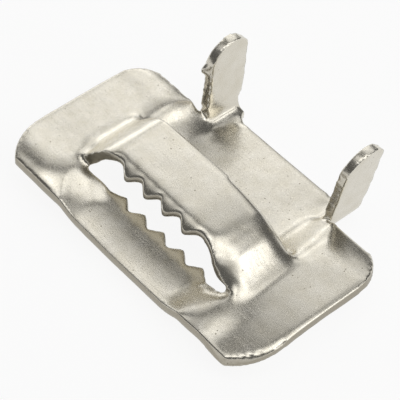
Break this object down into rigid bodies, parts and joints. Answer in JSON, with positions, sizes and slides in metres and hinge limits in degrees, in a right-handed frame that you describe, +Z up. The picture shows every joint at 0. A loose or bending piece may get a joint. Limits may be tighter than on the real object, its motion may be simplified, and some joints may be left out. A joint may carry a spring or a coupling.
{
  "type": "strapping buckle",
  "caption": "One-piece pressed steel band buckle with a raised bridge, a toothed slot and two upright fold-over ears.",
  "frame": {"origin": "under the middle of the buckle's bounding box, on the plane of the tongue's underside", "axes": "+X across the band along the buckle's length, +Y along the band from the toothed lip to the ears, +Z up out of the plate"},
  "size_m": [0.0348, 0.0238, 0.0101],
  "materials": {
    "stainless": "tumbled satin stainless sheet with sheared edges"
  },
  "bodies": {
    "root": {"buckle": "stainless"}
  },
  "joints": []
}
